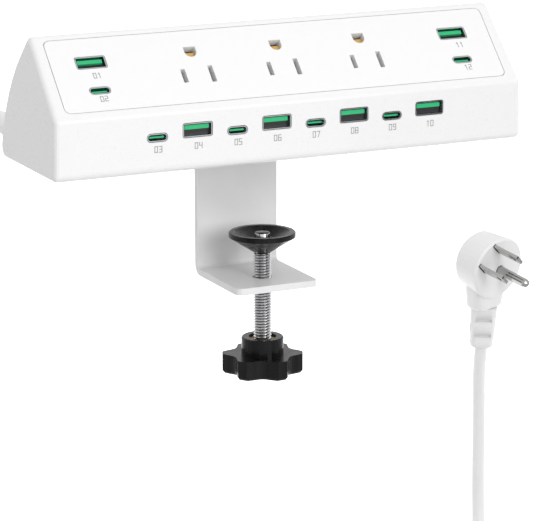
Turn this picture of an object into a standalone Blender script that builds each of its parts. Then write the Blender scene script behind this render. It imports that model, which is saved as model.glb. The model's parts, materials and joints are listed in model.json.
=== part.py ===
"""Desk power strip: a white housing with three mains outlets and twelve USB ports, on a screw clamp.

Frame: +X runs along the housing to the user's right, the user sits at -Y, +Z is up.
The origin is the middle of the foot pad's underside, which rests on the desk top.
"""

import math

import bmesh
import bpy
from mathutils import Matrix, Vector

MM = 0.001
GAP = 0.3 * MM

# Housing
HALF_LENGTH = 109.6 * MM
FRONT_Y = -27 * MM
BASE_Z = 1.5 * MM
CREASE_Z = 27 * MM
SLANT_DEG = 45.8
SLANT_LENGTH = 44.3 * MM
REAR_ARC_RADIUS = 78 * MM
REAR_ARC_FROM_DEG = 46
REAR_ARC_TO_DEG = 12
REAR_ARC_STEPS = 6
WALL = 2.2 * MM
END_ROUND = 2 * MM
END_DRAFT_PER_M = 0.22
CREASE_ROUND = 2.2 * MM
FRONT_EDGE_ROUND = 3.2 * MM
RIDGE_ROUND = 3 * MM
REAR_EDGE_ROUND = 5 * MM
OPENING_REAR_Y = 30.5 * MM
SCREW_POSTS = tuple((x * MM, y * MM) for x in (-101.5, 101.5) for y in (-19, 12))
BRACKET_SCREWS = ((-11 * MM, 21 * MM), (11 * MM, 21 * MM))

# Slanted outlet panel, measured up the slope from the crease
PANEL_FROM = 3.8 * MM
PANEL_TO = 40 * MM
PANEL_HALF_LENGTH = 102.9 * MM
PANEL_CORNER = 2.5 * MM
PANEL_FLANGE = 1.4 * MM
PANEL_FLANGE_THICKNESS = 1.5 * MM
OUTLET_PITCH = 39.66 * MM
SLOT_S = 17.5 * MM
SLOT_SPACING = 12.7 * MM
LINE_SLOT = (2.1 * MM, 6.9 * MM)
NEUTRAL_SLOT = (2.2 * MM, 8.3 * MM)
GROUND_ABOVE_SLOTS = 11.89 * MM
GROUND_HOLE_RADIUS = 2.75 * MM

# Bus bars: offset from the outlet's middle, then in mm the leaves' lower and upper edge up the slope,
# the strip's lower and upper edge, its depth, and half the gap between two leaves
BUS_BARS = {
    "line_bus_bar": (-SLOT_SPACING / 2, 14, 20.5, 14, 16.8, -15, 1.4),
    "neutral_bus_bar": (SLOT_SPACING / 2, 17.4, 21.4, 18.6, 21.4, -17.5, 1.4),
    "ground_bus_bar": (0, 27, 32, 28, 31, -15, 3.1),
}

# USB ports
PORT_PITCH = 18.22 * MM
PORTS_IN_FRONT = 8
FRONT_A_DOWN = 8.2 * MM
FRONT_C_DOWN = 10.05 * MM
PANEL_PORT_X = 85.05 * MM
PANEL_A_S = 27.9 * MM
PANEL_C_S = 13.8 * MM
USB_A_OPENING = (12.5 * MM, 5.12 * MM)
USB_C_OPENING = (8.34 * MM, 2.56 * MM)
PORT_METAL = 0.35 * MM
PORT_DEPTH = 12 * MM
PORT_SETBACK = 0.15 * MM

# Clamp
SCREW_Y = 7.1 * MM
SCREW_RADIUS = 4 * MM
SCREW_TIP_RADIUS = 3.45 * MM
SCREW_TIP_Z = -36.8 * MM
BRACKET_HALF_WIDTH = 19.45 * MM
BRACKET_THICKNESS = 3 * MM
BRACKET_REAR_Y = 36 * MM
BRACKET_FRONT_Y = -9.2 * MM
BRACKET_TOP_FRONT_Y = 14 * MM
FLANGE_TOP_Z = -56.9 * MM
BRACKET_HEAD_Z = 7.8 * MM
PAD_RADIUS = 14.7 * MM
PAD_TOP_Z = -36.6 * MM
PAD_NECK_Z = -45.2 * MM
HUB_RADIUS = 9.35 * MM
HUB_TOP_Z = -83.9 * MM
STAR_TOP_Z = -91.5 * MM
STAR_BOTTOM_Z = -100.2 * MM
STAR_RADIUS = 17.8 * MM
STAR_ARMS = 6
STAR_TURN_DEG = -25
STAR_ARM_HALF_DEG = 9
STAR_HOLLOW = 3.8 * MM

# Cord and plug
CORD_RADIUS = 3.4 * MM
GLAND_X = -101 * MM
GLAND_Z = 12 * MM
GLAND_END_Y = 62 * MM
FLOOR_Z = -282 * MM
COIL_CENTRE = Vector((95 * MM, 45 * MM))
COIL_RADIUS = 40 * MM
COIL_TURNS = 4.275
COIL_RISE = 7.2 * MM
PLUG_FACE = Vector((190.9, 139.1, -98.6)) * MM
PRONG_DIRECTION = Vector((0.2454, -0.9531, -0.1769))
GROUND_DIRECTION = Vector((0.691, 0.3, -0.6577))
PLUG_DISC_OFFSET = 10.5 * MM
PLUG_DISC_RADIUS = 16.6 * MM
PLUG_REAR_RADIUS = 14.9 * MM
PLUG_THICKNESS = 18.9 * MM
BOOT_DEPTH = -9 * MM
BOOT_TURN_DEG = -42.1
BOOT_FROM = 24.5 * MM
BOOT_LENGTH = 23 * MM
BLADE = (1.5 * MM, 6.35 * MM, 17 * MM)
BLADE_ROOT = 5 * MM
GROUND_PIN_RADIUS = 2.4 * MM
GROUND_PIN_LENGTH = 20.5 * MM

# The way of the cord from the gland to the coil, and from the coil to the plug
DROP_ROUTE = (
    (-101, 62.3, 12),
    (-101, 76, 12),
    (-101.5, 90, 9.5),
    (-103, 104, 0),
    (-104.5, 115, -18),
    (-105.5, 121, -45),
    (-105.5, 123, -90),
    (-105.5, 123, -140),
    (-105.5, 123, -190),
    (-105, 122.5, -228),
    (-102, 120.5, -254),
    (-92, 115, -271),
    (-76, 106, -277.5),
    (-56, 95.5, -278.5),
    (-28, 79.5, -278.5),
    (10, 54.6, -278.5),
    (48.6, 28.1, -278.5),
)
RISER_ROUTE = (
    (143.2, 54.5, -250),
    (150.5, 70.5, -258.5),
    (158.8, 88, -267),
    (168.2, 106, -272.5),
    (178.4, 124, -274),
    (188.4, 142, -270.5),
    (196.2, 155.5, -262),
    (200.4, 163, -247),
    (201.4, 165.6, -230),
    (201.6, 166.3, -205),
    (201.2, 165.9, -185),
    (199.8, 163.8, -168),
    (198.72, 160.3, -151.1),
)


def clear_scene():
    for obj in list(bpy.data.objects):
        bpy.data.objects.remove(obj, do_unlink=True)


def make_material(name, colour, roughness, metallic=0.0):
    material = bpy.data.materials.new(name)
    material.use_nodes = True
    shader = material.node_tree.nodes["Principled BSDF"]
    shader.inputs["Base Color"].default_value = (*colour, 1)
    shader.inputs["Roughness"].default_value = roughness
    shader.inputs["Metallic"].default_value = metallic
    return material


def add_object(name, bm, material=None, smooth_deg=None):
    """Turns a bmesh into an object in the scene, with its faces pointing out."""
    bmesh.ops.recalc_face_normals(bm, faces=bm.faces)
    mesh = bpy.data.meshes.new(name)
    bm.to_mesh(mesh)
    bm.free()
    if smooth_deg:
        mesh.shade_smooth()
        mesh.set_sharp_from_angle(angle=math.radians(smooth_deg))
    obj = bpy.data.objects.new(name, mesh)
    bpy.context.scene.collection.objects.link(obj)
    if material:
        obj.data.materials.append(material)
    return obj


def prism(outline, low, high):
    """A bmesh of a flat outline in XY, extruded from Z = low to Z = high."""
    bm = bmesh.new()
    bottom = [bm.verts.new((x, y, low)) for x, y in outline]
    top = [bm.verts.new((x, y, high)) for x, y in outline]
    bm.faces.new(bottom[::-1])
    bm.faces.new(top)
    for i in range(len(outline)):
        j = (i + 1) % len(outline)
        bm.faces.new((bottom[i], bottom[j], top[j], top[i]))
    return bm


def loft(sections):
    """A closed bmesh skin over sections that all have the same number of points."""
    bm = bmesh.new()
    rings = [[bm.verts.new(point) for point in section] for section in sections]
    for ring, following in zip(rings, rings[1:]):
        for i in range(len(ring)):
            j = (i + 1) % len(ring)
            bm.faces.new((ring[i], ring[j], following[j], following[i]))
    bm.faces.new(rings[0][::-1])
    bm.faces.new(rings[-1])
    return bm


def turned(profile, steps=32):
    """A solid turned about Z from (radius, z) points, or a ring where no point is on the axis."""
    bm = bmesh.new()
    on_axis = profile[0][0] == 0
    rings = []
    for radius, z in profile:
        if radius == 0:
            rings.append([bm.verts.new((0, 0, z))])
            continue
        angles = [2 * math.pi * k / steps for k in range(steps)]
        rings.append([bm.verts.new((radius * math.cos(a), radius * math.sin(a), z)) for a in angles])
    pairs = list(zip(rings, rings[1:]))
    if not on_axis:
        pairs.append((rings[-1], rings[0]))
    for ring, following in pairs:
        for k in range(steps):
            j = (k + 1) % steps
            corners = [ring[k % len(ring)], ring[j % len(ring)]]
            corners += [following[j % len(following)], following[k % len(following)]]
            bm.faces.new(list(dict.fromkeys(corners)))
    return bm


def box(size, centre):
    bm = bmesh.new()
    bmesh.ops.create_cube(bm, size=1)
    bmesh.ops.scale(bm, vec=size, verts=bm.verts)
    bmesh.ops.translate(bm, vec=centre, verts=bm.verts)
    return bm


def merged(parts):
    """One bmesh that holds all of the given ones as separate bodies."""
    whole = bmesh.new()
    for part in parts:
        mesh = bpy.data.meshes.new("scratch")
        part.to_mesh(mesh)
        part.free()
        whole.from_mesh(mesh)
        bpy.data.meshes.remove(mesh)
    return whole


def rounded_corner(before, corner, after, radius, steps):
    """The arc that rounds one corner of an outline."""
    to_before = (before - corner).normalized()
    to_after = (after - corner).normalized()
    half = to_before.angle(to_after) / 2
    centre = corner + (to_before + to_after).normalized() * (radius / math.sin(half))
    start = corner + to_before * (radius / math.tan(half)) - centre
    end = corner + to_after * (radius / math.tan(half)) - centre
    turn = start.angle_signed(end)
    return [centre + Matrix.Rotation(-turn * k / steps, 2) @ start for k in range(steps + 1)]


def rounded_rectangle(width, height, radius, steps=4, centre=(0, 0)):
    middle = Vector(centre)
    signs = ((-1, -1), (1, -1), (1, 1), (-1, 1))
    corners = [Vector((sx * width / 2, sy * height / 2)) for sx, sy in signs]
    outline = []
    for k, corner in enumerate(corners):
        arc = rounded_corner(corners[k - 1], corner, corners[(k + 1) % 4], radius, steps)
        outline += [tuple(point + middle) for point in arc]
    return outline


def boolean(target, cutter, operation="DIFFERENCE"):
    modifier = target.modifiers.new(cutter.name, "BOOLEAN")
    modifier.object = cutter
    modifier.operation = operation
    modifier.solver = "EXACT"
    cutter.hide_render = True
    cutter.display_type = "WIRE"


def face_matrix(x, up_face, on_slant):
    """Places a piece drawn with x along the face, y up it and z out of it, at up_face from the crease."""
    angle = math.radians(SLANT_DEG if on_slant else 90)
    turn = Matrix.Rotation(angle, 4, "X")
    crease = Vector((x, FRONT_Y, CREASE_Z))
    return Matrix.Translation(crease + turn.to_3x3() @ Vector((0, up_face, 0))) @ turn


def offset_polygon(corners, inward):
    """The corners of a clockwise outline, seen along +X, with every side moved inward."""
    moved = []
    count = len(corners)
    for k, corner in enumerate(corners):
        back = (corner - corners[k - 1]).normalized()
        ahead = (corners[(k + 1) % count] - corner).normalized()
        inward_back = Vector((back.y, -back.x))
        inward_ahead = Vector((ahead.y, -ahead.x))
        middle = (inward_back + inward_ahead).normalized()
        moved.append(corner + middle * (inward / middle.dot(inward_ahead)))
    return moved


def housing_corners():
    """(y, z) corners of the housing's section, clockwise from the lower front edge, with their rounding."""
    slope = math.radians(SLANT_DEG)
    ridge = Vector((FRONT_Y, CREASE_Z)) + SLANT_LENGTH * Vector((math.cos(slope), math.sin(slope)))
    first = math.radians(REAR_ARC_FROM_DEG)
    last = math.radians(REAR_ARC_TO_DEG)
    arc_start = ridge + 14 * MM * Vector((math.sin(first), -math.cos(first)))
    centre = arc_start - REAR_ARC_RADIUS * Vector((math.cos(first), math.sin(first)))
    arc = []
    for k in range(REAR_ARC_STEPS + 1):
        angle = first + (last - first) * k / REAR_ARC_STEPS
        arc.append(centre + REAR_ARC_RADIUS * Vector((math.cos(angle), math.sin(angle))))
    fall = (arc[-1].y - BASE_Z) * math.tan(last)
    rear_foot = Vector((arc[-1].x + fall, BASE_Z))
    corners = [Vector((FRONT_Y, BASE_Z)), Vector((FRONT_Y, CREASE_Z)), ridge, *arc, rear_foot]
    rounds = [FRONT_EDGE_ROUND, CREASE_ROUND, RIDGE_ROUND, *[0] * len(arc), REAR_EDGE_ROUND]
    return corners, rounds


def housing_outline(inward):
    corners, rounds = housing_corners()
    moved = offset_polygon(corners, inward)
    outline = []
    for k, (corner, radius) in enumerate(zip(moved, rounds)):
        if radius == 0:
            outline.append(corner)
            continue
        smaller = max(radius - inward, 0.2 * MM)
        outline += rounded_corner(moved[k - 1], corner, moved[(k + 1) % len(moved)], smaller, 5)
    return outline


def drafted(x, outline):
    """A (y, z) outline placed at x, drawn in a little towards the top by the mould's draft."""
    return [(x * (1 - END_DRAFT_PER_M * (z - BASE_Z)), y, z) for y, z in outline]


def cavity_outline():
    """(y, z) outline of the space inside the shell, which runs out through the bottom."""
    inner = offset_polygon(housing_corners()[0], WALL)
    below = BASE_Z - 5 * MM
    front, rear = inner[0], inner[-1]
    outline = [Vector((front.x, below)), *inner[1:-1], Vector((rear.x, rear.y + 1 * MM))]
    return outline + [Vector((OPENING_REAR_Y, rear.y)), Vector((OPENING_REAR_Y, below))]


def port_outline(kind, grow=0.0):
    width, height = USB_A_OPENING if kind == "a" else USB_C_OPENING
    radius = 0.4 * MM if kind == "a" else height / 2 - 0.02 * MM
    return rounded_rectangle(width + 2 * grow, height + 2 * grow, radius + grow, 3 if kind == "a" else 5)


def port_places():
    """Every USB port as (kind, number, matrix), in reading order along the housing."""
    places = [("a", 1, face_matrix(-PANEL_PORT_X, PANEL_A_S, True))]
    places.append(("c", 1, face_matrix(-PANEL_PORT_X, PANEL_C_S, True)))
    for k in range(PORTS_IN_FRONT):
        kind, down = ("c", FRONT_C_DOWN) if k % 2 == 0 else ("a", FRONT_A_DOWN)
        x = (k - (PORTS_IN_FRONT - 1) / 2) * PORT_PITCH
        places.append((kind, 2 + k // 2, face_matrix(x, -down, False)))
    places.append(("a", 6, face_matrix(PANEL_PORT_X, PANEL_A_S, True)))
    places.append(("c", 6, face_matrix(PANEL_PORT_X, PANEL_C_S, True)))
    return places


def build_shell(white):
    ends = []
    steps = 3
    for k in range(steps + 1):
        angle = math.pi / 2 * k / steps
        reach = HALF_LENGTH - END_ROUND + END_ROUND * math.sin(angle)
        ends.append((reach, END_ROUND - END_ROUND * math.cos(angle)))
    sections = [drafted(-x, housing_outline(inward)) for x, inward in reversed(ends)]
    sections += [drafted(x, housing_outline(inward)) for x, inward in ends]
    shell = add_object("housing_shell", loft(sections), white, 25)

    inner_end = HALF_LENGTH - WALL
    cavity_sections = []
    for x in (-inner_end, inner_end):
        cavity_sections.append(drafted(x, cavity_outline()))
    boolean(shell, add_object("cut_cavity", loft(cavity_sections)))

    post_low, post_high = BASE_Z + 3.3 * MM, 24 * MM
    for k, (x, y) in enumerate(SCREW_POSTS):
        profile = ((0, post_low), (3.2 * MM, post_low), (3.2 * MM, post_high), (0, post_high))
        post = add_object(f"screw_post_{k + 1}", turned(profile, 16))
        post.location = (x, y, 0)
        wall_x = math.copysign(HALF_LENGTH - 1.6 * MM, x)
        rib_size = (abs(wall_x - x), 2.4 * MM, post_high - post_low - 1 * MM)
        rib = add_object(f"post_rib_{k + 1}", box(rib_size, (0, 0, 0)))
        rib.location = ((x + wall_x) / 2, y, (post_low + post_high) / 2)
        boolean(shell, post, "UNION")
        boolean(shell, rib, "UNION")

    window = rounded_rectangle(
        2 * (PANEL_HALF_LENGTH + GAP), PANEL_TO - PANEL_FROM + 2 * GAP, PANEL_CORNER + GAP
    )
    panel_window = add_object("cut_panel_window", prism(window, -WALL - 1 * MM, 2 * MM))
    panel_window.matrix_world = face_matrix(0, (PANEL_FROM + PANEL_TO) / 2, True)
    boolean(shell, panel_window)

    holes = []
    for kind, _, place in port_places()[2:-2]:
        hole = prism(port_outline(kind, PORT_METAL + GAP), -WALL - 1 * MM, 2 * MM)
        bmesh.ops.transform(hole, matrix=place, verts=hole.verts)
        holes.append(hole)
    gland_hole = turned(((0, 26 * MM), (6.2 * MM, 26 * MM), (6.2 * MM, 45 * MM), (0, 45 * MM)), 24)
    turn = Matrix.Translation((GLAND_X, 0, GLAND_Z)) @ Matrix.Rotation(-math.pi / 2, 4, "X")
    bmesh.ops.transform(gland_hole, matrix=turn, verts=gland_hole.verts)
    notch_front = OPENING_REAR_Y - 0.5 * MM
    notch_rear = BRACKET_REAR_Y + 4 * MM
    notch = box(
        (2 * (BRACKET_HALF_WIDTH + GAP), notch_rear - notch_front, 10 * MM),
        (0, (notch_front + notch_rear) / 2, BRACKET_HEAD_Z + GAP - 5 * MM),
    )
    screw_holes = []
    for x, y in SCREW_POSTS:
        hole = turned(((0, 2 * MM), (1.6 * MM, 2 * MM), (1.6 * MM, 15 * MM), (0, 15 * MM)), 12)
        bmesh.ops.translate(hole, vec=(x, y, 0), verts=hole.verts)
        screw_holes.append(hole)
    boolean(shell, add_object("cut_housing_holes", merged([*holes, gland_hole, notch, *screw_holes])))


def build_panel(white):
    middle = (PANEL_FROM + PANEL_TO) / 2
    height = PANEL_TO - PANEL_FROM
    face = prism(rounded_rectangle(2 * PANEL_HALF_LENGTH, height, PANEL_CORNER), -3.2 * MM, 0)
    panel = add_object("outlet_panel", face, white, 30)
    panel.matrix_world = face_matrix(0, middle, True)

    flange_top = -WALL - GAP
    flange_outline = rounded_rectangle(
        2 * (PANEL_HALF_LENGTH + PANEL_FLANGE), height + 2 * PANEL_FLANGE, PANEL_CORNER + PANEL_FLANGE
    )
    flange = add_object(
        "panel_flange", prism(flange_outline, flange_top - PANEL_FLANGE_THICKNESS, flange_top)
    )
    flange.matrix_world = face_matrix(0, middle, True)
    boolean(panel, flange, "UNION")

    low, high = -6 * MM, 2 * MM
    cuts = []
    for k in (-1, 0, 1):
        x = k * OUTLET_PITCH
        for side, (width, length) in ((-1, LINE_SLOT), (1, NEUTRAL_SLOT)):
            slot = rounded_rectangle(width, length, 0.3 * MM, 2, (x + side * SLOT_SPACING / 2, SLOT_S))
            cuts.append(prism(slot, low, high))
        ground = []
        for step in range(13):
            angle = math.pi + math.pi * step / 12
            ground.append((x + GROUND_HOLE_RADIUS * math.cos(angle), GROUND_HOLE_RADIUS * math.sin(angle)))
        up = SLOT_S + GROUND_ABOVE_SLOTS
        ground = [(gx, gy + up) for gx, gy in ground]
        ground.append((x + GROUND_HOLE_RADIUS, up + 2.4 * MM))
        ground.append((x - GROUND_HOLE_RADIUS, up + 2.4 * MM))
        cuts.append(prism(ground, low, high))
    for x in (-PANEL_PORT_X, PANEL_PORT_X):
        for kind, up_face in (("a", PANEL_A_S), ("c", PANEL_C_S)):
            outline = [(px + x, py + up_face) for px, py in port_outline(kind, PORT_METAL + GAP)]
            cuts.append(prism(outline, low, high))
    openings = add_object("cut_panel_openings", merged(cuts))
    openings.matrix_world = face_matrix(0, 0, True)
    boolean(panel, openings)


def build_base(white, rubber, steel):
    inner = offset_polygon(housing_corners()[0], WALL)
    front = inner[0].x + GAP
    rear = OPENING_REAR_Y - GAP
    reach = HALF_LENGTH - WALL - GAP
    thickness = 3 * MM
    cover_outline = rounded_rectangle(2 * reach, rear - front, 0.5 * MM, 1, (0, (front + rear) / 2))
    cover = add_object("base_cover", prism(cover_outline, BASE_Z, BASE_Z + thickness), white)
    holes = []
    places = [*SCREW_POSTS, *BRACKET_SCREWS]
    for x, y in places:
        wide, narrow = 3.3 * MM, 1.6 * MM
        step_z = BASE_Z + 1.8 * MM
        profile = ((0, 0), (wide, 0), (wide, step_z), (narrow, step_z), (narrow, 8 * MM), (0, 8 * MM))
        hole = turned(profile, 16)
        bmesh.ops.translate(hole, vec=(x, y, 0), verts=hole.verts)
        holes.append(hole)
    boolean(cover, add_object("cut_cover_holes", merged(holes)))

    pad = prism(rounded_rectangle(150 * MM, 24 * MM, 3 * MM), 0, BASE_Z - GAP)
    add_object("foot_pad", pad, rubber)

    for k, (x, y) in enumerate(places):
        base = k < len(SCREW_POSTS)
        name = f"base_screw_{k + 1}" if base else f"bracket_screw_{k - len(SCREW_POSTS) + 1}"
        tip = 13 * MM if base else 10 * MM
        head_top = BASE_Z + 1.5 * MM
        profile = (
            (0, BASE_Z + GAP),
            (2.6 * MM, BASE_Z + GAP),
            (2.9 * MM, BASE_Z + 0.7 * MM),
            (2.9 * MM, head_top),
            (1.3 * MM, head_top),
            (1.3 * MM, tip - 1 * MM),
            (0, tip),
        )
        screw = add_object(name, turned(profile, 16), steel, 30)
        screw.location = (x, y, 0)


def build_ports(steel, green):
    for kind, number, place in port_places():
        tube = prism(port_outline(kind, PORT_METAL), -PORT_DEPTH, -PORT_SETBACK)
        shell = add_object(f"usb_{kind}_shell_{number}", tube, steel, 30)
        shell.matrix_world = place
        hollow = add_object(
            f"cut_usb_{kind}_{number}", prism(port_outline(kind), -PORT_DEPTH + 0.6 * MM, 1 * MM)
        )
        hollow.matrix_world = place
        boolean(shell, hollow)
        if kind == "a":
            size, shift, front = (11.1 * MM, 1.84 * MM), 1.05 * MM, -1.2 * MM
        else:
            size, shift, front = (6.69 * MM, 0.7 * MM), 0, -1.1 * MM
        back = -PORT_DEPTH + 0.9 * MM
        outline = rounded_rectangle(*size, 0.2 * MM, 1, (0, shift))
        tongue = add_object(f"usb_{kind}_tongue_{number}", prism(outline, back, front), green)
        tongue.matrix_world = place


def build_contacts(brass):
    """Each bus bar is one strip behind the panel, with a pair of spring leaves under every slot it feeds."""
    top = -4.6 * MM
    metal = 0.8 * MM
    for name, (offset, *measures) in BUS_BARS.items():
        leaf_low, leaf_high, strip_low, strip_high, depth, spread = (value * MM for value in measures)
        half = OUTLET_PITCH + 5 * MM
        size = (2 * half, strip_high - strip_low, metal)
        strip_s = (strip_low + strip_high) / 2
        bar = add_object(name, box(size, (offset, strip_s, depth - metal / 2)), brass)
        leaves = []
        for k in (-1, 0, 1):
            for side in (-1, 1):
                x = k * OUTLET_PITCH + offset + side * spread
                leaf = (metal, leaf_high - leaf_low, top - depth + metal / 2)
                leaf_z = (top + depth - metal / 2) / 2
                leaves.append(box(leaf, (x, (leaf_low + leaf_high) / 2, leaf_z)))
        joined = add_object(f"{name}_leaves", merged(leaves))
        for obj in (bar, joined):
            obj.matrix_world = face_matrix(0, 0, True)
        boolean(bar, joined, "UNION")


def build_electronics(board_green, core, aluminium):
    front = add_object("front_usb_board", box((144 * MM, 15 * MM, 1.6 * MM), (0, 0, 0)), board_green)
    front.matrix_world = face_matrix(0, -10 * MM, False) @ Matrix.Translation((0, 0, -13.2 * MM))
    for side, x in (("left", -PANEL_PORT_X), ("right", PANEL_PORT_X)):
        outline = rounded_rectangle(22 * MM, 25 * MM, 1 * MM, 2)
        board = add_object(f"{side}_usb_board", prism(outline, -0.8 * MM, 0.8 * MM), board_green)
        board.matrix_world = face_matrix(x, 21 * MM, True) @ Matrix.Translation((0, 0, -13.2 * MM))
    board_z = 7.6 * MM
    outline = rounded_rectangle(70 * MM, 36 * MM, 1 * MM, 2, (60 * MM, 9 * MM))
    add_object("power_board", prism(outline, board_z, board_z + 1.6 * MM), board_green)
    rest = board_z + 1.6 * MM + GAP
    core_outline = rounded_rectangle(24 * MM, 18 * MM, 1 * MM, 2, (56 * MM, 14 * MM))
    add_object("transformer", prism(core_outline, rest, rest + 14 * MM), core)
    can_profile = (
        (0, rest),
        (5.7 * MM, rest),
        (6 * MM, rest + 1 * MM),
        (6 * MM, rest + 15 * MM),
        (0, rest + 15.3 * MM),
    )
    capacitor = add_object("capacitor", turned(can_profile, 20), aluminium, 30)
    capacitor.location = (84 * MM, 14 * MM, 0)


def bracket_outline():
    """(y, z) outline of the bracket's side, from the flange under the desk to the one in the housing."""
    t = BRACKET_THICKNESS
    rear, front, head = BRACKET_REAR_Y, BRACKET_FRONT_Y, BRACKET_TOP_FRONT_Y
    low, high = FLANGE_TOP_Z - t, BRACKET_HEAD_Z
    outer, inner = 4.8 * MM, 1.8 * MM
    corners = (
        (front, low, 0),
        (rear, low, outer),
        (rear, high, outer),
        (head, high, 0),
        (head, high - t, 0),
        (rear - t, high - t, inner),
        (rear - t, FLANGE_TOP_Z, inner),
        (front, FLANGE_TOP_Z, 0),
    )
    points = [Vector(corner[:2]) for corner in corners]
    outline = []
    for k, (y, z, radius) in enumerate(corners):
        if radius == 0:
            outline.append((y, z))
            continue
        arc = rounded_corner(points[k - 1], points[k], points[(k + 1) % len(points)], radius, 5)
        outline += [tuple(point) for point in arc]
    return outline


def build_bracket(white):
    bm = prism(bracket_outline(), -BRACKET_HALF_WIDTH, BRACKET_HALF_WIDTH)
    along_x = Matrix(((0, 0, 1, 0), (1, 0, 0, 0), (0, 1, 0, 0), (0, 0, 0, 1)))
    bmesh.ops.transform(bm, matrix=along_x, verts=bm.verts)
    bracket = add_object("clamp_bracket", bm, white, 30)

    corner = 3 * MM
    trims = []
    for side in (-1, 1):
        x, y = side * (BRACKET_HALF_WIDTH - corner), BRACKET_FRONT_Y + corner
        quarter = []
        for step in range(5):
            angle = math.pi / 2 * step / 4
            quarter.append((x + side * corner * math.sin(angle), y - corner * math.cos(angle)))
        outer_x = side * (BRACKET_HALF_WIDTH + 1 * MM)
        outline = quarter + [(outer_x, y), (outer_x, y - 4 * MM), (x, y - 4 * MM)]
        trims.append(prism(outline, FLANGE_TOP_Z - 5 * MM, FLANGE_TOP_Z + 2 * MM))
    clear = SCREW_RADIUS + GAP
    below, above = FLANGE_TOP_Z - 6 * MM, FLANGE_TOP_Z + 4 * MM
    hole = turned(((0, below), (clear, below), (clear, above), (0, above)), 32)
    bmesh.ops.translate(hole, vec=(0, SCREW_Y, 0), verts=hole.verts)
    trims.append(hole)
    for x, y in BRACKET_SCREWS:
        hole = turned(((0, 3 * MM), (1.6 * MM, 3 * MM), (1.6 * MM, 10 * MM), (0, 10 * MM)), 16)
        bmesh.ops.translate(hole, vec=(x, y, 0), verts=hole.verts)
        trims.append(hole)
    boolean(bracket, add_object("cut_bracket", merged(trims)))


def star_outline(shrink=0.0):
    """Outline of the knob: six flat-ended arms with a shallow hollow between each two."""
    outline = []
    radius = STAR_RADIUS - shrink
    for arm in range(STAR_ARMS):
        middle = math.radians(STAR_TURN_DEG) + 2 * math.pi * arm / STAR_ARMS
        for step in (-1, -0.8, 0, 0.8, 1):
            angle = middle + math.radians(STAR_ARM_HALF_DEG) * step
            reach = radius - (0.5 * MM if abs(step) == 1 else 0)
            outline.append((reach * math.cos(angle), reach * math.sin(angle)))
        half_gap = math.pi / STAR_ARMS - math.radians(STAR_ARM_HALF_DEG)
        for step in range(-3, 4):
            share = step / 4
            depth = STAR_HOLLOW * (1 - share * share)
            angle = middle + math.pi / STAR_ARMS + half_gap * share
            outline.append(((radius - depth) * math.cos(angle), (radius - depth) * math.sin(angle)))
    return outline


def build_clamp(chrome, black, brass):
    axis = bpy.data.objects.new("clamp_axis", None)
    axis.location = (0, SCREW_Y, 0)
    bpy.context.scene.collection.objects.link(axis)

    neck = SCREW_TIP_RADIUS + GAP
    pad_profile = (
        (4.6 * MM, PAD_NECK_Z),
        (PAD_RADIUS - 0.8 * MM, PAD_TOP_Z - 2.6 * MM),
        (PAD_RADIUS, PAD_TOP_Z - 2.1 * MM),
        (PAD_RADIUS, PAD_TOP_Z - 0.4 * MM),
        (PAD_RADIUS - 0.4 * MM, PAD_TOP_Z),
        (PAD_RADIUS - 2.4 * MM, PAD_TOP_Z),
        (6 * MM, PAD_TOP_Z - 3.2 * MM),
        (neck, PAD_TOP_Z - 3.4 * MM),
        (neck, PAD_NECK_Z),
    )
    pad = add_object("clamp_pad", turned(pad_profile, 48), black, 30)

    socket_top = HUB_TOP_Z
    socket_bottom = STAR_BOTTOM_Z + 3 * MM
    screw_bottom = socket_bottom + GAP
    screw_profile = (
        (0, screw_bottom),
        (SCREW_RADIUS - 0.6 * MM, screw_bottom),
        (SCREW_RADIUS, screw_bottom + 0.6 * MM),
        (SCREW_RADIUS, PAD_NECK_Z - 0.6 * MM),
        (SCREW_TIP_RADIUS, PAD_NECK_Z - GAP),
        (SCREW_TIP_RADIUS, SCREW_TIP_Z - 0.6 * MM),
        (SCREW_TIP_RADIUS - 0.6 * MM, SCREW_TIP_Z),
        (0, SCREW_TIP_Z),
    )
    screw = add_object("clamp_screw", turned(screw_profile, 32), chrome, 30)

    insert_outer = SCREW_RADIUS + GAP + 1.5 * MM
    insert_profile = (
        (SCREW_RADIUS + GAP, socket_bottom + GAP),
        (insert_outer, socket_bottom + GAP),
        (insert_outer, socket_top - 1.2 * MM),
        (SCREW_RADIUS + GAP, socket_top - 1.2 * MM),
    )
    insert = add_object("knob_insert", turned(insert_profile, 24), brass, 30)

    star = prism(star_outline(), STAR_BOTTOM_Z + 1 * MM, STAR_TOP_Z)
    knob = add_object("clamp_knob", star, black, 30)
    sections = [[(x, y, STAR_BOTTOM_Z) for x, y in star_outline(1 * MM)]]
    sections.append([(x, y, STAR_BOTTOM_Z + 1.2 * MM) for x, y in star_outline()])
    foot = add_object("knob_foot", loft(sections))
    hub_profile = (
        (0, STAR_TOP_Z - 1 * MM),
        (HUB_RADIUS, STAR_TOP_Z - 1 * MM),
        (HUB_RADIUS, HUB_TOP_Z - 0.5 * MM),
        (HUB_RADIUS - 0.5 * MM, HUB_TOP_Z),
        (0, HUB_TOP_Z),
    )
    hub = add_object("knob_hub", turned(hub_profile, 32))
    wide = insert_outer + GAP
    bore_profile = (
        (0, socket_bottom),
        (wide, socket_bottom),
        (wide, socket_top + 2 * MM),
        (0, socket_top + 2 * MM),
    )
    bore = add_object("cut_knob_bore", turned(bore_profile, 24))
    boolean(knob, foot, "UNION")
    boolean(knob, hub, "UNION")
    boolean(knob, bore)
    for obj in (pad, screw, insert, knob, foot, hub, bore):
        obj.parent = axis


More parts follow.
